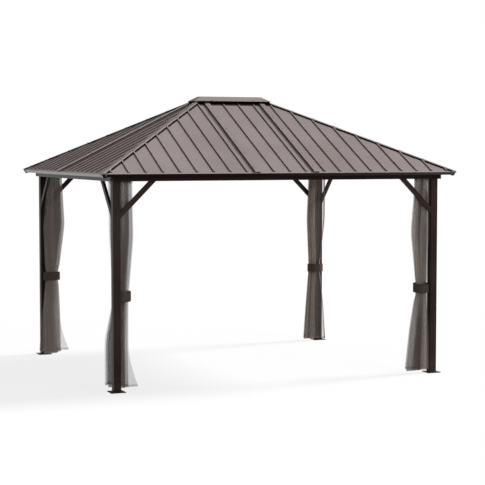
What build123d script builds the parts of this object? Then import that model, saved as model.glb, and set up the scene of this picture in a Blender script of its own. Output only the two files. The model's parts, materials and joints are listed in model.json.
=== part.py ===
from build123d import *
import os
from math import cos, radians, sin, sqrt, tan

# Garden gazebo in millimetres: the origin is on the ground under the middle of the roof,
# +X runs along the long front, +Y to the back and +Z up.

# Roof outline
eave_length = 3600.0
eave_width = 3000.0
middle_width = 600.0  # joint line to joint line on the long slopes
roof_pitch = 26.3  # degrees, the same on all four slopes
vent_width = 220.0  # short side of the opening under the vent cap

# Frame
clear_height = 1921.0  # ground to the underside of the beams
overhang_x = 113.0  # eave to the outer face of the beams, on the short sides
overhang_y = 96.0  # the same on the long sides
eave_drop = 21.0  # upper edge of the eave below the top of the beams
fit_gap = 0.2  # between pieces that rest edge to face
overrun = 40.0  # how far a cutting shape runs past what it cuts

# Posts and feet
post_size = 70.0
post_wall = 2.0
post_round = 3.0
foot_size = 142.0
foot_thick = 6.0
foot_round = 8.0
bolt_spacing = 106.0
bolt_hole = 12.0

# Beams
beam_height = 90.0
beam_proud = 23.0  # beam face beyond the post face
beam_box_width = 60.0
beam_wall = 2.0
track_height = 22.0
track_wall = 2.0
track_slot = 6.0
beam_cap_leg = 25.0
beam_cap_sheet = 1.5

# Knee braces
brace_reach = 340.0
brace_width = 46.0
brace_thick = 25.0
brace_wall = 2.0
brace_inset = 3.0  # brace behind the outer face of the post

# Rafters
rafter_width = 30.0
rafter_depth = 50.0
rafter_wall = 2.0
hip_rafter_width = 40.0
top_frame_width = 40.0
top_frame_height = 40.0
top_frame_lap = 20.0  # sheet that reaches past the top frame's outer face

# Roof sheets
sheet = 2.0
edge_gap = 1.0  # sheet edge to the joint line
hip_gap = 5.0  # sheet edge to the hip line
rib_pitch = 164.0
first_rib = 95.0  # joint line to the first rib
rib_height = 10.0
rib_base = 20.0
rib_top = 12.0
edge_flange = 9.0
eave_strip = 18.0  # flat strip below the ribs
hip_strip = 25.0  # flat strip along the hip
vent_strip = 28.0  # flat strip along the vent
lip_depth = 32.0  # square to the sheet

# Covers
joint_cover_width = 52.0
joint_cover_room = 6.0  # under the crown, above the flanges
hip_crown = 14.0  # half of the flat crown of a hip cover
hip_lap = 2.0  # hip cover past the rib ends
closure_gap = 1.0  # closure strip under the hip cover, short of the rib ends
hip_setback = 4.0  # hip covers end short of the vent
corner_lap = 18.0  # corner plate past the hip cover
drip_drop = 10.0  # corner point below the lips

# Vent cap
vent_gap = 22.0  # sheet edge to the lower edge of the cap
cap_overhang = 5.0
cap_run = 80.0
cap_rise = 47.0
cap_support_width = 30.0
cap_support_thick = 3.0
cap_support_inset = 5.0
cap_support_share = 0.55
collar_lap = 25.0  # foot of the collar below the sheet edge
collar_thick = 2.0

# Nets
net_inset = 35.0  # net axis in from the inner corner of the post
net_gap = 3.0
net_hem = 50.0  # hem above the ground
net_hem_radius = 150.0
net_waist_radius = 84.0
net_top_radius = 113.0
net_shoulder = 1450.0  # height where the gather reaches its upper width
tie_height = 850.0
tie_width = 95.0
tie_sheet = 2.0

# Worked out from the sizes above
root2 = sqrt(2)
pitch = radians(roof_pitch)
slope = tan(pitch)
lean = 1 / cos(pitch)  # upright size of what is measured square to the slope
hip_lean = sqrt(1 + slope * slope / 2)
half_length = eave_length / 2
half_width = eave_width / 2
joint_x = middle_width / 2
beam_top = clear_height + beam_height
eave_height = beam_top - eave_drop
beam_x = half_length - overhang_x
beam_y = half_width - overhang_y
beam_width = beam_proud + post_size
brace_out = post_size / 2 - brace_inset - brace_thick / 2  # middle of the post to the middle of a brace
post_x = beam_x - beam_proud - post_size / 2
post_y = beam_y - beam_proud - post_size / 2
vent_run = half_width - vent_width / 2
vent_x = half_length - vent_run
vent_y = half_width - vent_run
cover_run = vent_run - vent_strip
hip_run = vent_run - hip_setback
joint_cover_height = edge_flange + joint_cover_room + sheet
hip_flange = hip_strip + hip_lap  # half of a hip cover's width
frame_run = vent_run - top_frame_lap
sky = clear_height + beam_height + eave_length
hip_plane = Plane(origin=(-half_length, -half_width, 0), z_dir=(1, -1, 0))
post_plane = Plane(origin=(-post_x, -post_y, 0), z_dir=(1, -1, 0))


def sheet_top(run):
    return eave_height + slope * run


def sheet_under(run):
    return sheet_top(run) - sheet * lean


def flat(points):
    return make_face(Polyline(*points, close=True))


def upright(points):
    # a column over a plan outline, taller than the whole gazebo
    return extrude(Plane.XY * flat(points), amount=sky)


def block(x0, x1, y0, y1, z0, z1):
    corner = Pos((x0 + x1) / 2, (y0 + y1) / 2, (z0 + z1) / 2)
    return corner * Box(x1 - x0, y1 - y0, z1 - z0)


def left_right(piece):
    return [piece, mirror(piece, about=Plane.YZ)]


def all_corners(piece):
    front = left_right(piece)
    return front + [mirror(one, about=Plane.XZ) for one in front]


def together(pieces):
    return Compound(children=pieces)


# Posts and feet
def post():
    section = RectangleRounded(post_size, post_size, post_round)
    section -= Rectangle(post_size - 2 * post_wall, post_size - 2 * post_wall)
    tube = extrude(section, amount=clear_height - foot_thick)
    return Pos(-post_x, -post_y, foot_thick) * tube


def foot_plate():
    section = RectangleRounded(foot_size, foot_size, foot_round)
    section -= GridLocations(bolt_spacing, bolt_spacing, 2, 2) * Circle(bolt_hole / 2)
    return Pos(-post_x, -post_y, 0) * extrude(section, amount=foot_thick)


# Beams: a box tube with two net tracks, open downwards, along its inner edge
def beam_section():
    box = Pos(beam_box_width / 2, beam_height / 2) * Rectangle(beam_box_width, beam_height)
    hollow_width = beam_box_width - 2 * beam_wall
    hollow_height = beam_height - 2 * beam_wall
    hollow = Pos(beam_box_width / 2, beam_height / 2) * Rectangle(hollow_width, hollow_height)
    rail_width = beam_width - beam_box_width
    rail_middle = beam_box_width + rail_width / 2
    rail = Pos(rail_middle, track_height / 2) * Rectangle(rail_width, track_height)
    section = box - hollow + rail
    track_pitch = rail_width / 2
    track_width = track_pitch - 1.5 * track_wall
    for side in (-1, 1):
        middle = rail_middle + side * track_pitch / 2
        track_room = track_height - 2 * track_wall
        section -= Pos(middle, track_height / 2) * Rectangle(track_width, track_room)
        section -= Pos(middle, 0) * Rectangle(track_slot, track_height)
    return section


def beam(reach, face):
    # a front beam, reach long each way from the middle, its outer face at -face
    plane = Plane(origin=(0, -face, clear_height), x_dir=(0, 1, 0), z_dir=(1, 0, 0))
    bar = extrude(plane * beam_section(), amount=reach, both=True)
    mitre = [(-reach, -face), (reach, -face)]
    mitre += [(reach - beam_width, beam_width - face), (beam_width - reach, beam_width - face)]
    return bar & upright(mitre)


def beam_cap():
    low = -beam_x - beam_cap_sheet
    front = -beam_y - beam_cap_sheet
    cap = block(low, beam_cap_leg - beam_x, front, -beam_y, clear_height, beam_top)
    cap += block(low, -beam_x, front, beam_cap_leg - beam_y, clear_height, beam_top)
    return cap


# Knee braces: square-cut tubes at 45 degrees between post and beam
def brace_outline(reach, width, past):
    upright_width = width * root2
    return [
        (-past, clear_height - reach - past),
        (reach + past, clear_height + past),
        (reach + past - upright_width, clear_height + past),
        (-past, clear_height - reach - past + upright_width),
    ]


def brace_pair():
    face = post_size / 2 - post_x
    plane = Plane(origin=(face, -post_y - brace_out, 0), x_dir=(1, 0, 0), z_dir=(0, -1, 0))
    outer = plane * flat(brace_outline(brace_reach, brace_width, 0))
    inner_reach = brace_reach - brace_wall * root2
    inner_width = brace_width - 2 * brace_wall
    inner = plane * flat(brace_outline(inner_reach, inner_width, overrun))
    front = extrude(outer, amount=brace_thick / 2, both=True)
    front -= extrude(inner, amount=brace_thick / 2 - brace_wall, both=True)
    return together([front, mirror(front, about=post_plane)])


# Plan of a slope from run low to run high up from an eave span long, hip_offset in from its hips
def slope_outline(span, low, high, hip_offset):
    left = hip_offset * root2 - half_length
    right = span - hip_offset * root2 - half_length
    near, far = low - half_width, high - half_width
    return [(left + low, near), (right - low, near), (right - high, far), (left + high, far)]


# Rafters: tubes under the sheets, seated on the beams and butted to the top frame
def rafter(plane, scale, foot, head, sink, depth, width):
    # scale turns a run across the eave into a length along this rafter
    def top(run):
        return sheet_under(run) - sink - fit_gap

    seat = foot + max(0, (beam_top - top(foot) + depth) / slope)
    outline = [(foot, beam_top), (foot, top(foot)), (head, top(head))]
    outline += [(head, top(head) - depth), (seat, beam_top)]
    low, high = foot - overrun, head + overrun
    hollow = [(low, top(low) - rafter_wall), (high, top(high) - rafter_wall)]
    hollow += [(high, top(high) - depth + rafter_wall), (low, top(low) - depth + rafter_wall)]
    outer = plane * flat([(run * scale, z) for run, z in outline])
    inner = plane * flat([(run * scale, z) for run, z in hollow])
    tube = extrude(outer, amount=width / 2, both=True)
    return tube - extrude(inner, amount=width / 2 - rafter_wall, both=True)


def joint_rafter(span, x, overhang):
    plane = Plane(origin=(x, -half_width, 0), x_dir=(0, 1, 0), z_dir=(1, 0, 0))
    tube = rafter(plane, 1, overhang, frame_run, 0, rafter_depth * lean, rafter_width)
    return tube & upright(slope_outline(span, 0, frame_run, hip_rafter_width / 2 + fit_gap))


def hip_rafter():
    plane = Plane(origin=(-half_length, -half_width, 0), x_dir=(1, 1, 0), z_dir=(1, -1, 0))
    sink = slope * hip_rafter_width / 2 / root2
    foot = max(overhang_x, overhang_y) + hip_rafter_width / 2 / root2
    head = frame_run + hip_rafter_width
    tube = rafter(plane, root2, foot, head, sink, rafter_depth * hip_lean, hip_rafter_width)
    frame_x, frame_y = half_length - frame_run, half_width - frame_run
    return tube - block(-frame_x, frame_x, -frame_y, frame_y, 0, sky)


def ring(out_x, out_y, width, low, high):
    hole = block(width - out_x, out_x - width, width - out_y, out_y - width, low, high)
    return block(-out_x, out_x, -out_y, out_y, low, high) - hole


def top_frame():
    out_x, out_y = half_length - frame_run, half_width - frame_run
    high = sheet_under(frame_run) - fit_gap
    low = high - top_frame_height
    inner_width = top_frame_width - 2 * rafter_wall
    channel = ring(out_x, out_y, top_frame_width, low, high)
    return channel - ring(out_x - rafter_wall, out_y - rafter_wall, inner_width, low, high - rafter_wall)


# Roof panels: one folded sheet each, with pressed ribs, joint flanges and an eave lip
def slope_plane(x):
    # across the slope from x towards -X, square to the sheet, and up the slope
    return Plane(origin=(x, -half_width, eave_height), x_dir=(-1, 0, 0), z_dir=(0, cos(pitch), sin(pitch)))


def up_slope(x, section):
    return extrude(slope_plane(x) * section, amount=(vent_run + overrun) * lean)


def rib_places(width, margin):
    count = int((width - first_rib - margin) / rib_pitch) + 1
    return [first_rib + i * rib_pitch for i in range(count)]


def rib_points(place, inset):
    base, top = rib_base / 2 - inset, rib_top / 2 - inset
    low, high = -inset, rib_height - inset
    return [(place - base, low), (place - top, high), (place + top, high), (place + base, low)]


def folded_section(width, places, far_flange):
    over = [(edge_gap, edge_flange), (edge_gap + sheet, edge_flange), (edge_gap + sheet, 0)]
    under = [(edge_gap, -sheet)]
    for place in places:
        over += rib_points(place, 0)
        under += rib_points(place, sheet)
    if far_flange:
        over += [(width - sheet, 0), (width - sheet, edge_flange), (width, edge_flange)]
    else:
        over += [(width, 0)]
    under += [(width, -sheet)]
    return flat(over + under[::-1])


def panel(span, x, width, places, far_flange):
    # from the joint line at x to the hip, or to the next joint where there is a far flange
    field_top = vent_run - vent_strip
    blank = upright(slope_outline(span, 0, vent_run, hip_gap))
    field = upright(slope_outline(span, eave_strip, field_top, hip_strip))
    core = upright(slope_outline(span, eave_strip + sheet, field_top - sheet, hip_strip + sheet))
    blank_width = width - edge_gap
    strip = Pos(edge_gap + blank_width / 2, -sheet / 2) * Rectangle(blank_width, sheet)
    body = up_slope(x, strip) & (blank - field)
    body += up_slope(x, folded_section(width, places, far_flange)) & field
    ends = field - core
    for place in places:
        foot = [(place + rib_base / 2, -sheet), (place - rib_base / 2, -sheet)]
        body += up_slope(x, flat(rib_points(place, 0) + foot)) & ends
    edge = Pos(edge_gap + blank_width / 2, -lip_depth / 2) * Rectangle(blank_width, lip_depth)
    lip = extrude(slope_plane(x) * edge, amount=sheet)
    return body + (lip & blank)


def triangle_panel(span, x):
    width = half_length + x
    places = rib_places(width, eave_strip + hip_strip * root2 + rib_base)
    return panel(span, x, width + overrun, places, False)


def middle_panel():
    width = middle_width - edge_gap
    places = rib_places(width, joint_cover_width / 2 + rib_base)
    return panel(eave_length, joint_x, width, places, True)


# Covers over the joints and hips
def joint_cover(span, x):
    side, high = joint_cover_width / 2, joint_cover_height
    section = [(-side, 0), (-side, high), (side, high), (side, 0)]
    section += [(side - sheet, 0), (side - sheet, high - sheet)]
    section += [(sheet - side, high - sheet), (sheet - side, 0)]
    room = upright(slope_outline(span, -overrun, cover_run, hip_flange + fit_gap))
    return up_slope(x, flat(section)) & room


def along_hip(section):
    # from the eave, cut square to both slopes there, to just short of the vent
    corner = (-half_length - overrun, -half_width - overrun, sheet_top(-overrun))
    plane = Plane(origin=corner, x_dir=(1, -1, 0), z_dir=(-1, -1, 0))
    length = (hip_run + overrun) * root2 * hip_lean
    strip = extrude(plane * flat(section), amount=length, dir=Vector(1, 1, slope).normalized())
    inside = extrude(slope_plane(0) * Rectangle(2 * eave_length, 2 * eave_length), amount=sky)
    return strip & inside & mirror(inside, about=hip_plane)


def off_hip(side, height):
    # a point at height over the sheets, side away from the hip line
    return (side, height * lean - slope * abs(side) / root2)


def hip_cover():
    # flat crown over the hip, and a flange each side lying on the ribs
    places = (-hip_flange, -hip_crown, hip_crown, hip_flange)
    under = [off_hip(side, rib_height) for side in places]
    return along_hip(under + [off_hip(side, rib_height + sheet) for side in places[::-1]])


def hip_closure():
    side = hip_strip - closure_gap
    foot = [off_hip(place, fit_gap) for place in (-side, 0, side)]
    places = (side, hip_crown, -hip_crown, -side)
    return along_hip(foot + [off_hip(place, rib_height - fit_gap) for place in places])


def eave_corner():
    # a plate each way from the corner, square to the slopes: a drip point below the lips, and above them
    # the end of the hip cover
    flange_top = rib_height + sheet
    crown_top = flange_top - slope * hip_crown / root2 / lean
    low, leg = -lip_depth - drip_drop, hip_flange * root2 + corner_lap
    outline = [(-overrun, low), (leg / 2, low), (leg, -lip_depth), (leg, 0)]
    outline += [(hip_flange * root2, flange_top), (hip_crown * root2, flange_top)]
    outline += [(0, crown_top), (-overrun, crown_top)]
    corner = (-half_length, -half_width, eave_height)
    plane = Plane(origin=corner, x_dir=(1, 0, 0), z_dir=(0, -cos(pitch), -sin(pitch)))
    front = extrude(plane * flat(outline), amount=sheet)
    front &= upright(slope_outline(eave_length, -overrun, vent_run, 0))
    return front + mirror(front, about=hip_plane)


# Vent cap: a shallow hipped tray turned over, on four supports
cap_low = sheet_top(vent_run) + vent_gap
cap_x = vent_x + cap_overhang
cap_y = vent_y + cap_overhang
cap_thick = sheet * sqrt(1 + (cap_rise / cap_run) ** 2)


def cap_solid(low):
    base = Plane.XY.offset(low) * Rectangle(2 * cap_x, 2 * cap_y)
    crest = Plane.XY.offset(low + cap_rise) * Rectangle(2 * (cap_x - cap_run), 2 * (cap_y - cap_run))
    return loft([base, crest], ruled=True)


def cap_support():
    outer_y = vent_y - cap_support_inset
    low = sheet_under(frame_run) - fit_gap
    high = cap_low + (cap_y - outer_y) * cap_rise / cap_run - cap_thick - fit_gap
    middle = cap_support_share * vent_x
    side = cap_support_width / 2
    return block(-middle - side, side - middle, -outer_y, cap_support_thick - outer_y, low, high)


# Collar that keeps driven rain out of the vent: a plate on each slope between the hip covers,
# leaning from the sheet to the lower edge of the cap
def vent_collar(span):
    foot, head, high = vent_run - collar_lap, half_width - cap_y, cap_low - fit_gap
    outline = [(foot, sheet_top(foot) + fit_gap), (head, high), (head + collar_thick, high)]
    outline += [(foot + collar_thick, sheet_top(foot + collar_thick) + fit_gap)]
    plane = Plane(origin=(0, -half_width, 0), x_dir=(0, 1, 0), z_dir=(1, 0, 0))
    plate = extrude(plane * flat(outline), amount=eave_length, both=True)
    return plate & upright(slope_outline(span, 0, vent_run, hip_flange + fit_gap))


# Nets gathered into the post corners, and the bands that tie them
net_x = post_x - post_size / 2 - net_inset
net_y = post_y - post_size / 2 - net_inset


def turned(points):
    place = Pos(-net_x, -net_y, 0)
    return place * revolve(Plane.XZ * flat(points), axis=Axis.Z)


def post_room(gap):
    side = post_size / 2 + gap
    return block(-post_x - side, side - post_x, -post_y - side, side - post_y, 0, clear_height)


def net():
    tie_low, tie_high = tie_height - tie_width / 2, tie_height + tie_width / 2
    top = clear_height - fit_gap
    outline = [(0, net_hem), (net_hem_radius, net_hem), (net_waist_radius, tie_low)]
    outline += [(net_waist_radius, tie_high), (net_top_radius, net_shoulder), (net_top_radius, top), (0, top)]
    brace_foot = clear_height - brace_reach - net_gap
    brace_side = brace_out - brace_thick / 2 - net_gap
    gather = turned(outline) - post_room(net_gap)
    gather -= block(-half_length, 0, -half_width, -post_y - brace_side, brace_foot, sky)
    gather -= block(-half_length, -post_x - brace_side, -half_width, 0, brace_foot, sky)
    return gather


def net_tie():
    inner = net_waist_radius + fit_gap
    outer = inner + tie_sheet
    low, high = tie_height - tie_width / 2, tie_height + tie_width / 2
    return turned([(inner, low), (outer, low), (outer, high), (inner, high)]) - post_room(0)


# All pieces by name
corner_names = ["front_left", "front_right", "back_left", "back_right"]
pieces = {}
for kind, make in (("post", post), ("foot_plate", foot_plate), ("hip_rafter", hip_rafter), ("net", net)):
    for corner, piece in zip(corner_names, all_corners(make())):
        pieces[f"{corner}_{kind}"] = piece
for corner, piece in zip(corner_names, all_corners(brace_pair())):
    pieces[f"{corner}_braces"] = piece
long_beam = beam(beam_x, beam_y)
side_beam = Rot(0, 0, -90) * beam(beam_y, beam_x)
pieces["front_beam"] = long_beam
pieces["back_beam"] = Rot(0, 0, 180) * long_beam
pieces["left_beam"] = side_beam
pieces["right_beam"] = Rot(0, 0, 180) * side_beam
pieces["beam_corner_caps"] = together(all_corners(beam_cap()))
side_joint = half_width - half_length  # the joint line of the left slope, mirrored to the front
side_rafter = mirror(joint_rafter(eave_width, side_joint, overhang_x), about=hip_plane)
front_rafters = all_corners(joint_rafter(eave_length, -joint_x, overhang_y))
pieces["joint_rafters"] = together(front_rafters + left_right(side_rafter))
pieces["top_frame"] = top_frame()
front_panel = triangle_panel(eave_length, -joint_x)
side_panel = mirror(triangle_panel(eave_width, side_joint), about=hip_plane)
for corner, front_piece, side_piece in zip(corner_names, all_corners(front_panel), all_corners(side_panel)):
    end, side = corner.split("_")
    pieces[f"{end}_roof_{side}_panel"] = front_piece
    pieces[f"{side}_roof_{end}_panel"] = side_piece
pieces["front_roof_middle_panel"] = middle_panel()
pieces["back_roof_middle_panel"] = Rot(0, 0, 180) * pieces["front_roof_middle_panel"]
side_cover = mirror(joint_cover(eave_width, side_joint), about=hip_plane)
front_covers = all_corners(joint_cover(eave_length, -joint_x))
pieces["joint_covers"] = together(front_covers + left_right(side_cover))
pieces["hip_covers"] = together(all_corners(hip_cover()))
pieces["hip_closures"] = together(all_corners(hip_closure()))
pieces["eave_corners"] = together(all_corners(eave_corner()))
pieces["vent_cap"] = cap_solid(cap_low) - cap_solid(cap_low - cap_thick)
collar = vent_collar(eave_length)
side_collar = mirror(vent_collar(eave_width), about=hip_plane)
pieces["vent_collar"] = together([collar, mirror(collar, about=Plane.XZ)] + left_right(side_collar))
pieces["vent_cap_supports"] = together(all_corners(cap_support()))
pieces["net_ties"] = together(all_corners(net_tie()))

os.makedirs("parts", exist_ok=True)
for name, piece in pieces.items():
    export_step(piece, f"parts/{name}.step")
    print(name, len(piece.solids()), round(sum(one.volume for one in piece.solids())))
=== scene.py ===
import json
import math

import bmesh
import bpy
import numpy as np
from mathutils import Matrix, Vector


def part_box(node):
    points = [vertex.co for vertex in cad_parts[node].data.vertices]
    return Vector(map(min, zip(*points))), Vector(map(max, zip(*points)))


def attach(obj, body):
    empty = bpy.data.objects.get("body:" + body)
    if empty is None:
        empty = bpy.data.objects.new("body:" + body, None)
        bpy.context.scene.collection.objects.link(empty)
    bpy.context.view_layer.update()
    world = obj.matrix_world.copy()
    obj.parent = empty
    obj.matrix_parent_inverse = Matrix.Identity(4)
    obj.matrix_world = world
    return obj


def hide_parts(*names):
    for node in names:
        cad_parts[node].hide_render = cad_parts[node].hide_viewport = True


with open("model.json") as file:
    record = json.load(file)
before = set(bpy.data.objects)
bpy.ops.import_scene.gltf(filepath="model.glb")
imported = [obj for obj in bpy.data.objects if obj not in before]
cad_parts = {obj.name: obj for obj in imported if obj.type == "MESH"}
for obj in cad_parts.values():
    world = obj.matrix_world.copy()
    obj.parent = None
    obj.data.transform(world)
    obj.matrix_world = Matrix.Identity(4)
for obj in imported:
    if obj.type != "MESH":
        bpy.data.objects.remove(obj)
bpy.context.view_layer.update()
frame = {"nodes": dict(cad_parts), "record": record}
cadNodes = frame["nodes"]
scene = bpy.context.scene
scene.view_settings.view_transform = "Standard"
scene.cycles.transparent_max_bounces = 96  # the gathered nets lie many layers deep
print("frame loaded with", len(cadNodes), "nodes")

# which way each corner lies from the middle, in x and y
corners = {"front_left": (-1, -1), "front_right": (1, -1), "back_left": (-1, 1), "back_right": (1, 1)}


# Camera at the photograph's place
camera = {
    "place": (-5.456, -14.016, 2.212),
    "turn": 21.785,  # degrees to the right of straight ahead along +Y
    "dip": 3.664,  # degrees below level
    "lens": 108.25,
    "sensor": 36.0,
    "farthest": 200,
}


def setCamera():
    data = bpy.data.cameras.new("photoCamera")
    data.lens = camera["lens"]
    data.sensor_width = camera["sensor"]
    data.clip_end = camera["farthest"]
    eye = bpy.data.objects.new("photoCamera", data)
    eye.location = camera["place"]
    eye.rotation_euler = (math.radians(90 - camera["dip"]), 0, math.radians(-camera["turn"]))
    scene.collection.objects.link(eye)
    scene.camera = eye


setCamera()
print("camera set")


# Node helpers
def linear(red, green, blue):
    # a colour as it shows on screen, 0 to 255, to the linear values that the shaders take
    shown = np.array([red, green, blue]) / 255
    low = shown / 12.92
    high = ((shown + 0.055) / 1.055) ** 2.4
    return (*np.where(shown <= 0.04045, low, high).tolist(), 1.0)


def addNode(tree, kind, inputs=None, **settings):
    # inputs: socket name or number to a value, or to a socket that feeds it
    node = tree.nodes.new(kind)
    for key, value in settings.items():
        setattr(node, key, value)
    for key, value in (inputs or {}).items():
        if isinstance(value, bpy.types.NodeSocket):
            tree.links.new(value, node.inputs[key])
        else:
            node.inputs[key].default_value = value
    return node


def mathNode(tree, operation, first, second=0.0):
    return addNode(tree, "ShaderNodeMath", {0: first, 1: second}, operation=operation).outputs[0]


def spread(tree, value, low, high, newLow, newHigh):
    inputs = {"Value": value, "From Min": low, "From Max": high, "To Min": newLow, "To Max": newHigh}
    return addNode(tree, "ShaderNodeMapRange", inputs).outputs["Result"]


def mixColour(tree, share, first, second):
    inputs = {"Factor": share, 6: first, 7: second}
    return addNode(tree, "ShaderNodeMix", inputs, data_type="RGBA").outputs[2]


def noiseNode(tree, place, scale, detail):
    inputs = {"Vector": place, "Scale": scale, "Detail": detail}
    return addNode(tree, "ShaderNodeTexNoise", inputs).outputs["Fac"]


def bumpNode(tree, height, strength, distance):
    inputs = {"Height": height, "Strength": strength, "Distance": distance}
    return addNode(tree, "ShaderNodeBump", inputs).outputs["Normal"]


def startGroup(name, settings, outputs):
    # a group that takes a place and some settings, and gives plain values
    tree = bpy.data.node_groups.new(name, "ShaderNodeTree")
    tree.interface.new_socket("Vector", in_out="INPUT", socket_type="NodeSocketVector")
    for socket in settings:
        tree.interface.new_socket(socket, in_out="INPUT", socket_type="NodeSocketFloat")
    for socket in outputs:
        tree.interface.new_socket(socket, in_out="OUTPUT", socket_type="NodeSocketFloat")
    return tree, tree.nodes.new("NodeGroupInput"), tree.nodes.new("NodeGroupOutput")


def useGroup(tree, group, inputs):
    return addNode(tree, "ShaderNodeGroup", inputs, node_tree=group)


def startMaterial(name):
    material = bpy.data.materials.new(name)
    material.use_nodes = True
    tree = material.node_tree
    return material, tree, tree.nodes["Principled BSDF"]


# Powder coat: slow drift of tone, a fine orange-peel grain, and dust that settles low down
powder = {
    "toneRange": (0.35, 0.65),
    "roughRange": (0.3, 0.7),
    "roughSpan": 0.05,  # either side of each paint's own roughness
    "peelScale": 420.0,
    "peelBump": (0.12, 0.0006),  # strength, and depth in metres
    "speckScale": 38.0,
    "speckRange": (0.42, 0.68),
    "dust": 0.35,  # most of the dust that shows
}


def powderCoatGroup():
    tree, begin, end = startGroup("powderCoat", ("Drift Scale", "Dust Height"), ("Tone", "Grain", "Dust"))
    place = begin.outputs["Vector"]
    drift = noiseNode(tree, place, begin.outputs["Drift Scale"], 4.0)
    peel = noiseNode(tree, place, powder["peelScale"], 2.0)
    speck = noiseNode(tree, place, powder["speckScale"], 3.0)
    height = addNode(tree, "ShaderNodeSeparateXYZ", {0: place}).outputs["Z"]
    low = spread(tree, mathNode(tree, "DIVIDE", height, begin.outputs["Dust Height"]), 0.0, 1.0, 1.0, 0.0)
    patch = spread(tree, speck, *powder["speckRange"], 0.0, 1.0)
    tree.links.new(drift, end.inputs["Tone"])
    tree.links.new(peel, end.inputs["Grain"])
    tree.links.new(mathNode(tree, "MULTIPLY", low, patch), end.inputs["Dust"])
    return tree


# Threads of a cloth: crests of two crossing waves, pitch apart
slubScale = 9.0


def threadGroup():
    tree, begin, end = startGroup("crossedThreads", ("Pitch", "Slant"), ("Threads", "Slub"))
    parts = addNode(tree, "ShaderNodeSeparateXYZ", {0: begin.outputs["Vector"]})
    turns = mathNode(tree, "DIVIDE", 2 * math.pi, begin.outputs["Pitch"])
    leaning = mathNode(tree, "MULTIPLY", parts.outputs["Y"], begin.outputs["Slant"])
    crests = []
    for operation in ("ADD", "SUBTRACT"):
        across = mathNode(tree, operation, parts.outputs["X"], leaning)
        wave = mathNode(tree, "SINE", mathNode(tree, "MULTIPLY", across, turns))
        crests.append(mathNode(tree, "ABSOLUTE", wave))
    threads = mathNode(tree, "MAXIMUM", crests[0], crests[1])
    tree.links.new(threads, end.inputs["Threads"])
    tree.links.new(noiseNode(tree, begin.outputs["Vector"], slubScale, 3.0), end.inputs["Slub"])
    return tree


# Where a point lies on the roof: its height over the sheet, and how far it is from the eave and from the hip
roof = {"halfLength": 1.8, "halfWidth": 1.5, "eave": 1.990, "pitch": math.radians(26.3)}


def roofPlaceGroup():
    tree, begin, end = startGroup("roofPlace", (), ("Over", "Run", "Hip"))
    parts = addNode(tree, "ShaderNodeSeparateXYZ", {0: begin.outputs["Vector"]}).outputs
    runs = [mathNode(tree, "SUBTRACT", roof[key], mathNode(tree, "ABSOLUTE", parts[axis]))
            for key, axis in (("halfLength", "X"), ("halfWidth", "Y"))]
    run = mathNode(tree, "MINIMUM", runs[0], runs[1])
    rise = mathNode(tree, "SUBTRACT", parts["Z"], roof["eave"])
    over = mathNode(tree, "SUBTRACT", mathNode(tree, "MULTIPLY", rise, math.cos(roof["pitch"])),
                    mathNode(tree, "MULTIPLY", run, math.sin(roof["pitch"])))
    apart = mathNode(tree, "ABSOLUTE", mathNode(tree, "SUBTRACT", runs[0], runs[1]))
    tree.links.new(over, end.inputs["Over"])
    tree.links.new(run, end.inputs["Run"])
    tree.links.new(mathNode(tree, "MULTIPLY", apart, math.sqrt(0.5)), end.inputs["Hip"])
    return tree


powderCoat = powderCoatGroup()
crossedThreads = threadGroup()
roofPlace = roofPlaceGroup()

# each paint: its tones and gloss, the scale of their drift, and how high dust lies on it
framePaint = {
    "light": linear(68, 56, 53),
    "dark": linear(56, 45, 43),
    "dust": linear(112, 104, 97),
    "rough": 0.50,
    "specular": 0.0,
    "gloss": (0.02, 0.41),  # clear coat seen straight on, and along the surface
    "glossFacing": (0.18, 0.72),  # where it starts to rise, and where it is full
    "glossRough": 0.35,
    "glossIndex": 1.5,
    "drift": 2.4,
    "dustHeight": 0.22,
}
noDust = {"dustHeight": 0.01}
# the beams: the frame's paint made darker, as painted shade under the eave; the cap plastic takes these tones
# too
shadedBeamPaint = dict(framePaint, light=linear(51, 40, 39), dark=linear(43, 33, 32), gloss=(0.02, 0.60))
capPlastic = dict(shadedBeamPaint, rough=0.6, gloss=(0.08, 0.55), drift=5.0, **noDust)
# near black, painted shade: on the hip closures and the vent collar it stands for the shade in the gaps under
# the hip covers and the cap
shadowStrip = dict(framePaint, light=linear(10, 6, 6), dark=linear(6, 4, 4), rough=0.9, gloss=(0.0, 0.0),
                  drift=6.0, **noDust)
roofPaint = {
    "light": linear(155, 143, 143),
    "dark": linear(146, 134, 133),
    "dust": linear(152, 146, 140),
    "rough": 0.62,
    "specular": 0.02,
    "gloss": (0.0, 0.03),
    "glossFacing": (0.18, 0.72),
    "glossRough": 0.4,
    "glossIndex": 3.4,
    "drift": 1.6,
    **noDust,
    "lip": linear(32, 22, 21),  # the eave lip painted near black, darker than the frame's paint: painted shade for its shaded front
    "lipGloss": (0.0, 1.0),
    "edge": linear(176, 166, 162),  # pale rolled edge of the sheet above the lip: a painted highlight
    "ribSideShade": linear(60, 49, 43),  # painted shade on the sides of the ribs and of the covers
    "gapShade": linear(24, 17, 15),  # painted shade along the hip covers, and the cap's painted shadow under the cap
    "sideTop": 0.0088,  # over the sheet, where the sides of the ribs end
    "capEdge": 1.334,  # how far up the shade of the cap begins
}
coverPaint = dict(roofPaint, sideTop=0.0155, gloss=(0.0, 0.5), glossFacing=(0.70, 0.86))
hipPaint = dict(roofPaint, light=linear(158, 147, 144), dark=linear(149, 138, 135), capEdge=2.0)

# where each mark on the roof starts and ends, in metres, and the most of it that shows
roofMarks = {
    "ribSideShade": (0.0004, 0.0014),  # over the sheet
    "ribSideShadeShare": 0.74,
    "sideFade": 0.0006,
    "gapShade": (0.035, 0.042),  # from the hip
    "shadeFade": 0.01,
    "shadeShare": 0.95,
    "rolledHighlight": (0.004, 0.013),  # up from the eave
    "rolledHighlightShare": 0.7,
    "lip": (-0.0032, -0.0024),  # over the sheet
}


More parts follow.
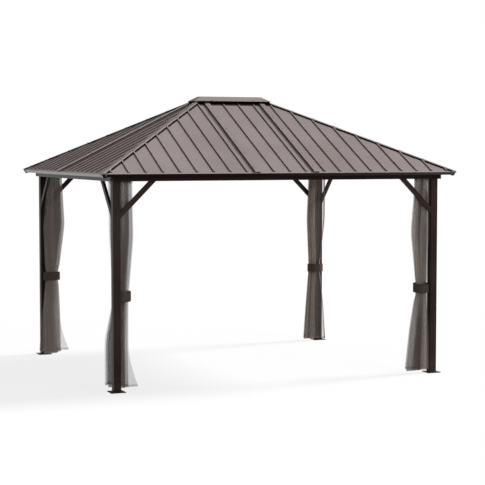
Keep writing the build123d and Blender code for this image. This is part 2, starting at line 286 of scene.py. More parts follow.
def roofColours(tree, place, colour, gloss, facing, colours):
    # painted shade on what stands up from the sheet, beside the hips and under the cap; a painted highlight
    # on the rolled edge; and painted shade on the lip below it
    spot = useGroup(tree, roofPlace, {"Vector": place})
    over, run, hip = (spot.outputs[key] for key in ("Over", "Run", "Hip"))
    # painted shade on the sides of ribs and covers, from just over the sheet up to sideTop
    low = spread(tree, over, *roofMarks["ribSideShade"], 0.0, roofMarks["ribSideShadeShare"])
    high = spread(tree, over, colours["sideTop"] - roofMarks["sideFade"], colours["sideTop"], 1.0, 0.0)
    colour = mixColour(tree, mathNode(tree, "MULTIPLY", low, high), colour, colours["ribSideShade"])
    # painted shade in the gap beside each hip cover, and the cap's painted shadow below the cap
    gapShade = mathNode(tree, "MULTIPLY", spread(tree, hip, *roofMarks["gapShade"], 1.0, 0.0), high)
    shadeEnd = colours["capEdge"] + roofMarks["shadeFade"]
    shade = spread(tree, run, colours["capEdge"], shadeEnd, 0.0, roofMarks["shadeShare"])
    colour = mixColour(tree, mathNode(tree, "MAXIMUM", gapShade, shade), colour, colours["gapShade"])
    # painted highlight along the rolled edge above the eave
    rolledHighlight = spread(tree, run, *roofMarks["rolledHighlight"], roofMarks["rolledHighlightShare"], 0.0)
    colour = mixColour(tree, rolledHighlight, colour, colours["edge"])
    # painted shade on the lip below the eave
    lip = spread(tree, over, *roofMarks["lip"], 1.0, 0.0)
    lipGloss = spread(tree, facing, *roofPaint["glossFacing"], *colours["lipGloss"])
    gloss = addNode(tree, "ShaderNodeMix", {0: lip, 2: gloss, 3: lipGloss}).outputs[0]
    return mixColour(tree, lip, colour, colours["lip"]), gloss


def paintMaterial(name, colours):
    material, tree, shader = startMaterial(name)
    place = addNode(tree, "ShaderNodeTexCoord").outputs["Object"]
    settings = {"Vector": place, "Drift Scale": colours["drift"], "Dust Height": colours["dustHeight"]}
    coat = useGroup(tree, powderCoat, settings)
    tone = spread(tree, coat.outputs["Tone"], *powder["toneRange"], 0.0, 1.0)
    colour = mixColour(tree, tone, colours["dark"], colours["light"])
    dust = mathNode(tree, "MULTIPLY", coat.outputs["Dust"], powder["dust"])
    colour = mixColour(tree, dust, colour, colours["dust"])
    smoothest, roughest = colours["rough"] - powder["roughSpan"], colours["rough"] + powder["roughSpan"]
    rough = spread(tree, coat.outputs["Tone"], *powder["roughRange"], smoothest, roughest)
    facing = addNode(tree, "ShaderNodeLayerWeight", {"Blend": 0.5}).outputs["Facing"]
    gloss = spread(tree, facing, *colours["glossFacing"], *colours["gloss"])
    if "lip" in colours:
        colour, gloss = roofColours(tree, place, colour, gloss, facing, colours)
    tree.links.new(colour, shader.inputs["Base Color"])
    tree.links.new(rough, shader.inputs["Roughness"])
    tree.links.new(gloss, shader.inputs["Coat Weight"])
    tree.links.new(bumpNode(tree, coat.outputs["Grain"], *powder["peelBump"]), shader.inputs["Normal"])
    shader.inputs["Specular IOR Level"].default_value = colours["specular"]
    shader.inputs["Coat Roughness"].default_value = colours["glossRough"]
    shader.inputs["Coat IOR"].default_value = colours["glossIndex"]
    return material


roofMaterial = paintMaterial("roofSheetPaint", roofPaint)
coverMaterial = paintMaterial("jointCoverPaint", coverPaint)
hipMaterial = paintMaterial("hipCoverPaint", hipPaint)
frameMaterial = paintMaterial("frameTubePaint", framePaint)
shadedBeamMaterial = paintMaterial("shadedBeamPaint", shadedBeamPaint)
shadowStripMaterial = paintMaterial("paintedShadeStrip", shadowStrip)
capMaterial = paintMaterial("cornerCapPlastic", capPlastic)

# Tie bands: a strap of webbing round each gather, its ends on the post
band = {
    "width": 0.088,
    "thick": 0.0024,
    "radius": 0.0845,
    "height": 0.85,
    "points": 90,
    "around": 24,
    "edge": 0.35,  # the less, the squarer the edges
    "standOff": 0.004,
    "swells": ((3, 0.0016), (7, 0.0010)),  # waves in a whole turn, and how high
    "tilt": 0.006,
    "lean": 0.6,
    "slack": 0.004,  # room inside it
    "fade": 0.10,  # how far from it the net is drawn in
}

# Nets: drawn to the post along both tracks, tied in at the waist, spreading to the hem
net = {
    "rows": 110,
    "columns": 420,
    "inset": 0.035,  # middle of the gather in from the post's corner, both ways
    "braceFace": 0.077,  # inner face of the braces out from that middle
    "top": 1.9205,
    "hem": 0.036,
    "heights": (0.036, 0.45, 0.85, 1.40, 1.92),  # hem, between, waist, shoulder, track
    "rounding": 0.24,  # how far up and down the outline is rounded at those heights
    "flat": (1.72, 1.885),
    "gap": 0.003,  # least gap to the post and the braces
    "braceFade": 0.12,
    "uneven": 0.05,  # of the width, how far folds stop short
    "wander": 0.08,  # how far the line of the short ones wanders, and in how many waves
    "wanderWaves": (0.4, 0.9),
    "sway": 0.005,
    "swayWaves": (5, 8),
    "swayLean": 0.6,
    "tailLegs": 0.8,  # how much of the first leg hangs loose at the hem, how far up, and how it curves
    "tailRise": 0.19,
    "tailCurve": 1.6,
    "sag": 0.010,
    "sagWaves": 2.3,
    "sagRise": 0.1,
}
# each corner, at those heights: how far the folds on the X track go past the corner (backX) and out (outX),
# where the first of them hangs (front), the same on the Y track, and how far along it the last hangs (along);
# then the legs from fold to fold, the share of them before the turn to the Y track and in it, how much of the
# way along is filled where the turn begins and ends (depth), the seed and the darkness of the folds, where
# the short ones end outside (inner) and by the post (ragged), the loose corner at the hem (tail), and how
# much higher the band is tied
netCorners = {
    "front_left": {
        "backX": (-0.030, -0.030, -0.030, -0.030, -0.030), "outX": (0.063, 0.056, 0.060, 0.108, 0.098),
        "front": (-0.040, -0.040, -0.032, -0.045, -0.050),
        "backY": (-0.112, -0.115, -0.060, -0.080, -0.083), "outY": (0.045, 0.040, 0.055, 0.055, 0.045),
        "along": (0.185, 0.180, 0.078, 0.125, 0.150),
        "legs": 17, "turn": 0.46, "turning": 0.15, "depth": (0.15, 0.50), "seed": 3, "shade": 0.75,
        "inner": 0.66, "ragged": 0.45, "tail": 0.085, "tie": 0.018},
    "front_right": {
        "backX": (-0.030, -0.030, -0.030, -0.030, -0.030), "outX": (0.230, 0.180, 0.085, 0.160, 0.112),
        "front": (-0.098, -0.090, -0.034, -0.072, -0.070),
        "backY": (-0.060, -0.055, -0.035, -0.050, -0.055), "outY": (0.020, 0.015, 0.050, 0.020, 0.020),
        "along": (0.150, 0.120, 0.078, 0.140, 0.170),
        "legs": 17, "turn": 0.54, "turning": 0.15, "depth": (0.15, 0.40), "seed": 11, "shade": 0.9,
        "inner": 0.68, "ragged": 0.30, "tail": 0.0, "tie": -0.012},
    "back_left": {
        "backX": (-0.135, -0.100, -0.040, -0.032, -0.030), "outX": (0.105, 0.098, 0.082, 0.158, 0.130),
        "front": (-0.034, -0.034, -0.032, -0.045, -0.045),
        "backY": (-0.125, -0.115, -0.080, -0.115, -0.070), "outY": (0.030, 0.010, 0.040, -0.005, -0.005),
        "along": (0.190, 0.130, 0.078, 0.160, 0.190),
        "legs": 17, "turn": 0.50, "turning": 0.15, "depth": (0.15, 0.45), "seed": 5, "shade": 0.3,
        "inner": 0.76, "ragged": 0.30, "tail": 0.092, "tie": 0.0},
    "back_right": {
        "backX": (0.000, 0.000, -0.020, 0.005, 0.000), "outX": (0.138, 0.105, 0.070, 0.092, 0.070),
        "front": (-0.034, -0.034, -0.032, -0.040, -0.040),
        "backY": (-0.062, -0.056, -0.040, -0.050, -0.050), "outY": (-0.034, -0.034, -0.010, -0.034, -0.034),
        "along": (0.200, 0.140, 0.078, 0.185, 0.195),
        "legs": 20, "turn": 0.93, "turning": 0.05, "depth": (0.20, 0.75), "seed": 17, "shade": 0.45,
        "inner": 0.70, "ragged": 0.25, "tail": 0.0, "tie": -0.003},
}

netFinish = {
    "colour": linear(178, 166, 159),
    "shade": linear(163, 151, 145),
    "fold": linear(82, 72, 68),  # where the folds lie in shade
    "streaks": 4.5,  # how many of them across, and how they change upwards
    "streakRise": 0.5,
    "streakRange": (0.42, 0.58),
    "pitch": 0.0055,
    "open": 0.26,  # cover between threads
    "thread": 0.46,  # cover on a thread
    "knitSlant": 0.6,
    "knitRange": (0.75, 1.0),  # of the threads' waves, from a gap to a thread
    "slant": 0.15,  # least share of the cloth's own size that it shows when seen along it
    "hem": 0.55,
    "hemWidth": 0.022,
    "shadow": 0.35,  # share of the cover that stops lamp light
    "seedStep": 1.7,
    "rough": 0.85,
    "specular": 0.1,
}


def netMaterial(corner):
    own = netCorners[corner]
    width, length = net["flat"]
    material, tree, shader = startMaterial("insectNet")
    flat = addNode(tree, "ShaderNodeUVMap", uv_map="flatCloth").outputs["UV"]
    settings = {"Vector": flat, "Pitch": netFinish["pitch"], "Slant": netFinish["knitSlant"]}
    knit = useGroup(tree, crossedThreads, settings)
    covers = (netFinish["open"], netFinish["thread"])
    cover = spread(tree, knit.outputs["Threads"], *netFinish["knitRange"], *covers)
    place = addNode(tree, "ShaderNodeSeparateXYZ", {0: flat}).outputs
    up = place["Y"]
    lower = mathNode(tree, "LESS_THAN", up, netFinish["hemWidth"])
    upper = mathNode(tree, "GREATER_THAN", up, length - netFinish["hemWidth"])
    hem = mathNode(tree, "MAXIMUM", lower, upper)
    cover = mathNode(tree, "MAXIMUM", cover, mathNode(tree, "MULTIPLY", hem, netFinish["hem"]))
    # seen at a slant the threads close up: 1 - (1 - cover) ^ (1 / cos)
    facing = addNode(tree, "ShaderNodeLayerWeight", {"Blend": 0.5}).outputs["Facing"]
    slant = mathNode(tree, "MAXIMUM", mathNode(tree, "SUBTRACT", 1.0, facing), netFinish["slant"])
    layers = mathNode(tree, "DIVIDE", 1.0, slant)
    through = mathNode(tree, "POWER", mathNode(tree, "SUBTRACT", 1.0, cover), layers)
    cover = mathNode(tree, "SUBTRACT", 1.0, through)
    colour = mixColour(tree, knit.outputs["Slub"], netFinish["shade"], netFinish["colour"])
    # the folds' painted shade: streaks at the same place across on every leg, so that they add up through the
    # layers
    across = mathNode(tree, "PINGPONG", place["X"], width / own["legs"])
    streakX = mathNode(tree, "MULTIPLY", across, netFinish["streaks"] * own["legs"] / width)
    streakY = mathNode(tree, "MULTIPLY", up, netFinish["streakRise"])
    parts = {0: streakX, 1: streakY, 2: own["seed"] * netFinish["seedStep"]}
    streak = noiseNode(tree, addNode(tree, "ShaderNodeCombineXYZ", parts).outputs[0], 1.0, 1.0)
    folded = spread(tree, streak, *netFinish["streakRange"], 0.0, own["shade"])
    colour = mixColour(tree, folded, colour, netFinish["fold"])
    shadowRay = addNode(tree, "ShaderNodeLightPath").outputs["Is Shadow Ray"]
    cover = mathNode(tree, "MULTIPLY", cover, spread(tree, shadowRay, 0.0, 1.0, 1.0, netFinish["shadow"]))
    tree.links.new(colour, shader.inputs["Base Color"])
    tree.links.new(cover, shader.inputs["Alpha"])
    shader.inputs["Roughness"].default_value = netFinish["rough"]
    shader.inputs["Specular IOR Level"].default_value = netFinish["specular"]
    return material


bandFinish = {
    "colour": linear(88, 76, 70),
    "groove": linear(58, 48, 44),
    "pitch": 0.006,
    "stitch": 0.007,  # the seams in from the edges, and half their width
    "stitchHalf": 0.0012,
    "bump": (0.4, 0.0008),  # strength, and depth in metres
    "rough": 0.8,
    "specular": 0.15,
}


def bandMaterial():
    material, tree, shader = startMaterial("tieWebbing")
    flat = addNode(tree, "ShaderNodeUVMap", uv_map="flatCloth").outputs["UV"]
    weave = useGroup(tree, crossedThreads, {"Vector": flat, "Pitch": bandFinish["pitch"], "Slant": 1.0})
    up = addNode(tree, "ShaderNodeSeparateXYZ", {0: flat}).outputs["Y"]
    half = band["width"] / 2
    fromMiddle = mathNode(tree, "ABSOLUTE", mathNode(tree, "SUBTRACT", up, half))
    seam = mathNode(tree, "ABSOLUTE", mathNode(tree, "SUBTRACT", fromMiddle, half - bandFinish["stitch"]))
    stitched = mathNode(tree, "LESS_THAN", seam, bandFinish["stitchHalf"])
    colour = mixColour(tree, weave.outputs["Threads"], bandFinish["groove"], bandFinish["colour"])
    colour = mixColour(tree, stitched, colour, bandFinish["groove"])
    bump = bumpNode(tree, weave.outputs["Threads"], *bandFinish["bump"])
    tree.links.new(colour, shader.inputs["Base Color"])
    tree.links.new(bump, shader.inputs["Normal"])
    shader.inputs["Roughness"].default_value = bandFinish["rough"]
    shader.inputs["Specular IOR Level"].default_value = bandFinish["specular"]
    return material


def dress(material, names):
    for name in names:
        piece = cadNodes[name]
        if not piece.material_slots:
            piece.data.materials.append(material)
        for slot in piece.material_slots:
            slot.material = material


slotOf = {part["node"]: part["material_slot"] for part in frame["record"]["subparts"]}
finishes = {"roof_paint": roofMaterial, "frame_paint": frameMaterial, "cap_plastic": capMaterial}
for slotName, material in finishes.items():
    dress(material, [name for name, slot in slotOf.items() if slot == slotName])
dress(coverMaterial, ["joint_covers"])
dress(hipMaterial, ["hip_covers", "vent_cap"])
dress(shadedBeamMaterial, [f"{side}_beam" for side in ("front", "back", "left", "right")])
# the closures and the collar take the near-black painted shade
dress(shadowStripMaterial, ["hip_closures", "vent_collar"])
print("paints on", sum(slot in finishes for slot in slotOf.values()), "nodes")


# Mesh helpers
def gridFaces(rows, columns, closed=False):
    # each cell of a rows by columns grid as four point numbers; closed joins the last column to the first
    across = columns if closed else columns - 1
    row, column = np.meshgrid(np.arange(rows - 1), np.arange(across), indexing="ij")
    after = (column + 1) % columns
    first, second = row * columns + column, row * columns + after
    return np.stack([first, second, second + columns, first + columns], axis=-1).reshape(-1, 4)


def putMesh(name, points, faces, material, slotName, flat=None):
    mesh = bpy.data.meshes.new(name)
    points = np.asarray(points, float).reshape(-1, 3)
    mesh.vertices.add(len(points))
    mesh.vertices.foreach_set("co", points.ravel())
    mesh.loops.add(faces.size)
    mesh.loops.foreach_set("vertex_index", faces.ravel().astype(np.int32))
    mesh.polygons.add(len(faces))
    mesh.polygons.foreach_set("loop_start", np.arange(len(faces), dtype=np.int32) * faces.shape[1])
    mesh.update(calc_edges=True)
    mesh.polygons.foreach_set("use_smooth", np.ones(len(faces), bool))
    if flat is not None:
        layer = mesh.uv_layers.new(name="flatCloth")
        layer.data.foreach_set("uv", np.asarray(flat, float).reshape(-1, 2)[faces.ravel()].ravel())
    mesh.validate()
    mesh.materials.append(material)
    piece = bpy.data.objects.new(name, mesh)
    scene.collection.objects.link(piece)
    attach(piece, "root")
    return piece


# The corner where a net gathers: the post's inner corner, and the way in from it
def postCorner(corner):
    side = np.array(corners[corner])
    low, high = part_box(f"{corner}_post")
    inner = np.where(side < 0, (high.x, high.y), (low.x, low.y))
    return inner, -side


def rounded(heights, values, z, reach):
    # straight runs between the given heights, rounded by a moving average over reach
    samples = 800
    fine = np.linspace(z.min() - reach, z.max() + reach, samples)
    window = np.hanning(max(3, int(reach / (fine[1] - fine[0]))))
    runs = np.interp(fine, heights, values)
    padded = np.pad(runs, len(window), mode="edge")
    smooth = np.convolve(padded, window / window.sum(), mode="same")[len(window):-len(window)]
    return np.interp(z, fine, smooth)


def foldPlaces(draw, rise, own):
    # turning points of the zigzag, far and near by turns as shares of the width; every second one of each
    # stops short, at a line that wanders by a slow wave upwards
    turn = np.arange(own["legs"] + 1)
    far = turn % 2 == 0
    short = turn // 2 % 2
    line = np.where(far, 1 - short * (1 - own["inner"]), short * own["ragged"])
    waves, begin = draw.uniform(*net["wanderWaves"], 2), draw.uniform(0, 1, 2)
    wave = np.sin(2 * np.pi * (waves[turn % 2] * rise + begin[turn % 2]))
    uneven = draw.uniform(0, net["uneven"], turn.size) * np.where(far, -1, 1) * (turn > 1)
    return np.clip(line + net["wander"] * short * wave + uneven, 0, 1)


def netSurface(corner):
    # across: a zigzag from fold to fold, eased by (1 - cos(pi f)) / 2 on each leg, between the reaches on the
    # X track up to the turn and those on the Y track after it, while b runs straight on each track and
    # between them; up: its reaches follow the given heights
    own = netCorners[corner]
    draw = np.random.default_rng(own["seed"])
    z = np.linspace(net["hem"], net["top"], net["rows"])[:, None]
    s = np.linspace(0, 1, net["columns"])[None, :]
    keys = ("backX", "outX", "front", "backY", "outY", "along")
    outline = (rounded(net["heights"], own[key], z, net["rounding"]) for key in keys)
    backX, outX, front, backY, outY, along = outline
    rise = (z - net["hem"]) / (net["top"] - net["hem"])
    legs = own["legs"]
    places = foldPlaces(draw, rise, own)
    leg = np.minimum(s * legs, legs - 1).astype(int)
    eased = (1 - np.cos(np.pi * (s * legs - leg))) / 2
    across = places[:, leg[0]] * (1 - eased) + places[:, leg[0] + 1] * eased
    turned = np.clip((s - own["turn"]) / own["turning"] + 0.5, 0, 1)
    share = turned ** 2 * (3 - 2 * turned)
    near = backX * (1 - share) + backY * share
    far = outX * (1 - share) + outY * share
    most = net["swayLean"]
    waves = [(k, draw.uniform(-most, most), draw.uniform(0, 2 * np.pi)) for k in net["swayWaves"]]
    sway = sum(net["sway"] * np.sin(2 * np.pi * (k * s + lean * rise) + begin) for k, lean, begin in waves)
    a = near + (far - near) * across
    stops = (0, own["turn"] - own["turning"] / 2, own["turn"] + own["turning"] / 2, 1)
    b = front + (along - front) * np.interp(s, stops, (0, *own["depth"], 1)) + sway
    loose = np.clip(1 - s * legs / net["tailLegs"], 0, 1)
    loose = loose * np.clip(1 - rise / net["tailRise"], 0, 1) ** net["tailCurve"]
    a = a + own["tail"] * loose
    wave = np.sin(2 * np.pi * (net["sagWaves"] * s + draw.uniform(0, 1)))
    sag = net["sag"] * wave * np.clip(1 - rise / net["sagRise"], 0, 1)
    return a, b, z + sag * (1 - loose), s


def insideBand(a, b, z, own):
    # draws the cloth in to the band's circle at its height, by room / hypot(a, b), and lets it out again over
    # the fade
    fromBand = np.abs(z - band["height"] - own["tie"]) - band["width"] / 2
    held = np.clip(1 - fromBand / band["fade"], 0, 1) ** 2
    squeeze = np.minimum(1, (band["radius"] - band["slack"]) / np.hypot(a, b))
    factor = 1 + (squeeze - 1) * held
    return a * factor, b * factor


def clearOf(a, b, z):
    # keeps the cloth off the post, which fills a and b below -inset, and off the braces above their feet
    gap = net["gap"]
    wall = gap - net["inset"]
    inPost = (a < wall) & (b < wall)
    nearer = wall - a < wall - b
    a = np.where(inPost & nearer, wall, a)
    b = np.where(inPost & ~nearer, wall, b)
    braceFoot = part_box("front_left_braces")[0].z - gap
    braceSide = gap - net["braceFace"]
    high = np.clip((z - braceFoot + net["braceFade"]) / net["braceFade"], 0, 1)
    a = np.where(a < braceSide, a + (braceSide - a) * high, a)
    b = np.where(b < braceSide, b + (braceSide - b) * high, b)
    return a, b


def standAt(corner, a, b, z):
    # a and b, in along X and Y from the middle of the gather, as points of the frame: corner + way * (inset +
    # a or b); and whether that mirrors them
    inner, way = postCorner(corner)
    x = inner[0] + way[0] * (net["inset"] + a)
    y = inner[1] + way[1] * (net["inset"] + b)
    return np.stack([x, y, z], axis=-1), way[0] * way[1] < 0


def makeNet(corner, material):
    a, b, z, s = netSurface(corner)
    a, b = insideBand(a, b, z, netCorners[corner])
    a, b = clearOf(a, b, z)
    points, mirrored = standAt(corner, a, b, z)
    faces = gridFaces(*z.shape)
    if mirrored:
        faces = faces[:, ::-1]
    up = np.linspace(0, net["flat"][1], net["rows"])[:, None]
    flat = np.stack(np.broadcast_arrays(s * net["flat"][0], up), axis=-1)
    return putMesh(f"{corner}_gathered_net", points, faces, material, "net_mesh", flat)


def bandSurface(own):
    # profile: a flat loop, width by thick with round edges; path: a circle about the gather, from one face of
    # the post to the other, that swells and dips by slow sine waves as it goes
    draw = np.random.default_rng(own["seed"])
    start = -math.acos(-net["inset"] / band["radius"])
    end = math.radians(90) - start
    angle = np.linspace(start, end, band["points"])[:, None]
    around = np.linspace(0, 2 * np.pi, band["around"], endpoint=False)[None, :]
    across = np.sign(np.cos(around)) * np.abs(np.cos(around)) ** band["edge"] * band["width"] / 2
    out = np.sin(around) * band["thick"] / 2
    swell = sum(size * np.sin(waves * angle + draw.uniform(0, 6)) for waves, size in band["swells"])
    share = np.sin(np.pi * (angle - start) / (end - start))
    radius = band["radius"] + band["thick"] / 2 + share * (band["standOff"] + swell) + out
    a, b = radius * np.cos(angle), radius * np.sin(angle)
    dip = band["tilt"] * np.sin(angle + draw.uniform(-band["lean"], band["lean"])) * share
    z = band["height"] + own["tie"] + across + dip
    length = (angle - start) * band["radius"]
    flat = np.stack(np.broadcast_arrays(length, across + band["width"] / 2), axis=-1)
    return a, b, z, flat


def makeBand(corner, material):
    a, b, z, flat = bandSurface(netCorners[corner])
    points, mirrored = standAt(corner, a, b, z)
    faces = gridFaces(*z.shape, closed=True)
    if not mirrored:
        faces = faces[:, ::-1]
    return putMesh(f"{corner}_tie_band", points, faces, material, "tie_webbing", flat)


webbing = bandMaterial()
for corner in corners:
    gather = makeNet(corner, netMaterial(corner))
    strap = makeBand(corner, webbing)
    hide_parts(f"{corner}_net")
    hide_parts("net_ties")
print("nets and tie bands made")


# Fixings: hexagon-head screws with a washer, and the gliders that carry the nets on their tracks
screw = {
    # radius, height and how hexagonal, from under the washer to the middle of the head
    "profile": ((0.0, -0.0004, 0), (0.0072, -0.0004, 0), (0.0072, 0.0008, 0), (0.0060, 0.0014, 0),
                (0.0042, 0.0015, 1), (0.0042, 0.0042, 1), (0.0037, 0.0048, 0), (0.0, 0.0050, 0)),
    "around": 24,
}
glider = {
    "profile": ((0.0, -0.0150, 0), (0.0022, -0.0146, 0), (0.0040, -0.0120, 0), (0.0040, -0.0080, 0),
                (0.0018, -0.0050, 0), (0.0018, 0.0015, 0), (0.0, 0.0020, 0)),
    "around": 12,
    "spacing": 0.024,
    "track": -0.043,  # inner track out from the middle of the gather
}


def turnedSolid(form):
    # a profile turned about an upright axis: x = r cos(t), y = r sin(t), and where it is hexagonal r also
    # grows to the corners as 1 / cos of the angle from the middle of a flat
    radius, height, hexagonal = (np.array(column)[:, None] for column in zip(*form["profile"]))
    t = np.linspace(0, 2 * np.pi, form["around"], endpoint=False)[None, :]
    flat = np.mod(t, np.pi / 3) - np.pi / 6
    r = radius * (1 + hexagonal * (1 / np.cos(flat) - 1))
    return np.stack([r * np.cos(t), r * np.sin(t), np.broadcast_to(height, r.shape)], axis=-1)


def seatedCopies(form, places, ups):
    # each copy: place + x * side + y * across + z * up, where side and across are square to its up
    places, ups = np.array(places, float), np.array(ups, float)
    ups /= np.linalg.norm(ups, axis=1, keepdims=True)
    helper = np.where(np.abs(ups[:, 2:]) > 0.99, (1.0, 0, 0), (0, 0, 1.0))
    side = np.cross(helper, ups)
    side /= np.linalg.norm(side, axis=1, keepdims=True)
    axes = np.stack([side, np.cross(ups, side), ups], axis=1)
    solid = turnedSolid(form)
    points = places[:, None, None, :] + np.einsum("rtk,nkc->nrtc", solid, axes)
    cells = gridFaces(*solid.shape[:2], closed=True)
    starts = np.arange(len(places)) * solid.shape[0] * solid.shape[1]
    return points, (starts[:, None, None] + cells[None]).reshape(-1, 4)


def putFixings(name, form, seats, material, slotName):
    places, ups = zip(*seats)
    piece = putMesh(name, *seatedCopies(form, places, ups), material, slotName)
    solid = bmesh.new()
    solid.from_mesh(piece.data)
    bmesh.ops.remove_doubles(solid, verts=solid.verts, dist=1e-6)
    solid.to_mesh(piece.data)
    solid.free()


# where screws stand on the roof: over the sheet on each cover, and how far apart
roofScrews = {
    "jointX": 0.300, "jointOver": 0.017, "jointRuns": np.linspace(0.09, 1.30, 6),
    "hipOver": 0.012, "hipSide": 0.0205, "hipRuns": np.arange(0.24, 1.30, 0.164),
    "capX": 0.2255, "capIn": 0.010, "capSlope": 0.047 / 0.080,
    "cornerAlong": 0.040, "cornerBelow": 0.016, "cornerSheet": 0.002,
}


def roofSeat(x, y, over):
    # on the slope that (x, y) is over: z = eave + run * tan(pitch) + over / cos(pitch)
    runX, runY = roof["halfLength"] - abs(x), roof["halfWidth"] - abs(y)
    z = roof["eave"] + min(runX, runY) * math.tan(roof["pitch"]) + over / math.cos(roof["pitch"])
    out = math.sin(roof["pitch"])
    lean = (math.copysign(out, x), 0) if runX < runY else (0, math.copysign(out, y))
    return (x, y, z), (*lean, math.cos(roof["pitch"]))


def roofScrewSeats():
    own = roofScrews
    seats = []
    for run in own["jointRuns"]:
        for sideY in (-1, 1):
            y = sideY * (roof["halfWidth"] - run)
            seats += [roofSeat(sideX * own["jointX"], y, own["jointOver"]) for sideX in (-1, 1)]
        seats += [roofSeat(sideX * (roof["halfLength"] - run), 0.0, own["jointOver"]) for sideX in (-1, 1)]
    for sideX, sideY in corners.values():
        for run in own["hipRuns"]:
            side = own["hipSide"] / math.sqrt(2)
            for off in (-side, side):
                x, y = sideX * (roof["halfLength"] - run - off), sideY * (roof["halfWidth"] - run + off)
                seats.append(roofSeat(x, y, own["hipOver"]))
    capLow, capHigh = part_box("vent_cap")
    for sideX, sideY in corners.values():
        y, z = sideY * (capHigh.y - own["capIn"]), capLow.z + own["capIn"] * own["capSlope"]
        seats.append(((sideX * own["capX"], y, z), (0, sideY * own["capSlope"], 1)))
    c, s = math.cos(roof["pitch"]), math.sin(roof["pitch"])
    along, below, thick = own["cornerAlong"], own["cornerBelow"], own["cornerSheet"]
    for sideX, sideY in corners.values():
        inwards, z = s * below - c * thick, roof["eave"] - c * below - s * thick
        x, y = sideX * roof["halfLength"], sideY * roof["halfWidth"]
        seats.append(((x - sideX * along, y - sideY * inwards, z), (0, sideY * c, -s)))
        seats.append(((x - sideX * inwards, y - sideY * along, z), (sideX * c, 0, -s)))
    return seats


# where screws stand on the frame: along each brace from its ends, and on the caps over the beam corners
frameScrews = {"braceWidth": 0.046, "fromEnd": (0.026, 0.062), "capIn": 0.013, "capShares": (0.22, 0.60)}


def braceSeats(corner):
    low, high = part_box(f"{corner}_braces")
    inner, way = postCorner(corner)
    upright = frameScrews["braceWidth"] * math.sqrt(2)
    reach = high.z - low.z - upright / 2
    ends = [end / math.sqrt(2) for end in frameScrews["fromEnd"]]
    seats = []
    for t in ends + [reach - end for end in ends]:
        z = low.z + upright / 2 + t
        faceX, faceY = (low.x if way[0] > 0 else high.x), (low.y if way[1] > 0 else high.y)
        seats.append(((inner[0] + way[0] * t, faceY, z), (0, -way[1], 0)))
        seats.append(((faceX, inner[1] + way[1] * t, z), (-way[0], 0, 0)))
    return seats


def frameScrewSeats():
    seats = [seat for corner in corners for seat in braceSeats(corner)]
    low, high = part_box("beam_corner_caps")
    for sideX, sideY in corners.values():
        for share in frameScrews["capShares"]:
            z = low.z + share * (high.z - low.z)
            seats.append(((sideX * (high.x - frameScrews["capIn"]), sideY * high.y, z), (0, sideY, 0)))
            seats.append(((sideX * high.x, sideY * (high.y - frameScrews["capIn"]), z), (sideX, 0, 0)))
    return seats


def gliderSeats():
    # on the inner tracks, from the corner as far as each net's top reaches
    seats = []
    for corner, own in netCorners.items():
        inner, way = postCorner(corner)
        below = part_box("front_beam")[0].z
        for reach, axis in ((own["outX"][-1], 0), (own["along"][-1], 1)):
            for step in np.arange(0.0, reach, glider["spacing"]):
                place = np.array([glider["track"], glider["track"]])
                place[axis] = step
                x, y = inner + way * (net["inset"] + place)
                seats.append(((x, y, below), (0, 0, 1)))
    return seats


roofScrewPaint = dict(framePaint, light=linear(150, 140, 137), dark=linear(128, 118, 114), gloss=(0.1, 0.4),
                      drift=40.0, **noDust)
frameScrewPaint = dict(framePaint, light=linear(78, 68, 65), dark=linear(58, 48, 46), gloss=(0.15, 0.6),
                       drift=40.0, **noDust)
roofScrewMaterial = paintMaterial("roofScrewPaint", roofScrewPaint)
frameScrewMaterial = paintMaterial("frameScrewPaint", frameScrewPaint)
putFixings("roof_screws", screw, roofScrewSeats(), roofScrewMaterial, "roof_paint")
putFixings("frame_screws", screw, frameScrewSeats(), frameScrewMaterial, "frame_paint")
putFixings("net_gliders", glider, gliderSeats(), capMaterial, "cap_plastic")
print("screws and gliders seated")


# Floor, world and lamps
stage = {
    "reach": 40.0,
    "drop": 0.001,
    "pale": 0.9,
    "shadow": 0.22,  # how much of the floor's shading shows
    "white": 1.03,
    "bounce": 0.42,  # what the floor gives back to the object
    "ambient": 0.22,
}


def seenRays(tree):
    path = addNode(tree, "ShaderNodeLightPath")
    direct = mathNode(tree, "MAXIMUM", path.outputs["Is Camera Ray"], path.outputs["Is Glossy Ray"])
    return mathNode(tree, "MAXIMUM", direct, path.outputs["Is Transmission Ray"])


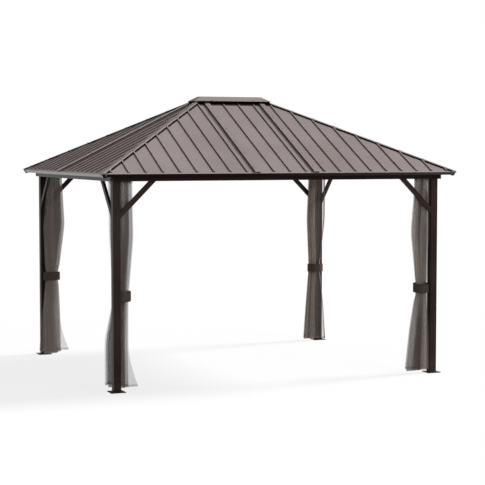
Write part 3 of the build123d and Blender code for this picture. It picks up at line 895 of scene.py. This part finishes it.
def makeFloor():
    reach, drop = stage["reach"], stage["drop"]
    span = np.linspace(-reach, reach, 2)
    x, y = np.meshgrid(span, span, indexing="xy")
    mesh = bpy.data.meshes.new("studioFloor")
    points = np.stack([x, y, np.full_like(x, -drop)], axis=-1).reshape(-1, 3)
    mesh.from_pydata(points.tolist(), [], gridFaces(2, 2).tolist())
    floor = bpy.data.objects.new("studioFloor", mesh)
    scene.collection.objects.link(floor)
    material = bpy.data.materials.new("studioFloor")
    material.use_nodes = True
    tree = material.node_tree
    tree.nodes.clear()
    shaded = addNode(tree, "ShaderNodeBsdfDiffuse", {"Color": (stage["pale"],) * 3 + (1,)})
    bounce = addNode(tree, "ShaderNodeBsdfDiffuse", {"Color": (stage["bounce"],) * 3 + (1,)})
    white = addNode(tree, "ShaderNodeEmission", {"Strength": stage["white"]})
    tones = {0: stage["shadow"], 1: white.outputs[0], 2: shaded.outputs[0]}
    shown = addNode(tree, "ShaderNodeMixShader", tones)
    rays = {0: seenRays(tree), 1: bounce.outputs[0], 2: shown.outputs[0]}
    both = addNode(tree, "ShaderNodeMixShader", rays)
    addNode(tree, "ShaderNodeOutputMaterial", {"Surface": both.outputs[0]})
    mesh.materials.append(material)


def makeWorld():
    world = bpy.data.worlds.new("studioWorld")
    scene.world = world
    world.use_nodes = True
    tree = world.node_tree
    tree.nodes.clear()
    strength = spread(tree, seenRays(tree), 0.0, 1.0, stage["ambient"], 1.0)
    sky = addNode(tree, "ShaderNodeBackground", {"Color": (1, 1, 1, 1), "Strength": strength})
    addNode(tree, "ShaderNodeOutputWorld", {"Surface": sky.outputs[0]})


# each lamp: where it stands from the object, how strong, and how wide it looks in degrees
lamps = {
    "keyLamp": {"from": (0.79, 0.08, 0.61), "strength": 3.75, "spread": 14},
    "frontLamp": {"from": (0.40, -0.86, 0.25), "strength": 0.80, "spread": 40},
}


def makeLamps():
    for name, lamp in lamps.items():
        data = bpy.data.lights.new(name, "SUN")
        data.energy = lamp["strength"]
        data.angle = math.radians(lamp["spread"])
        piece = bpy.data.objects.new(name, data)
        x, y, z = lamp["from"]
        piece.rotation_euler = (math.atan2(math.hypot(x, y), z), 0, math.atan2(x, -y))
        scene.collection.objects.link(piece)


makeFloor()
makeWorld()
makeLamps()
print("floor, world and lamps set")
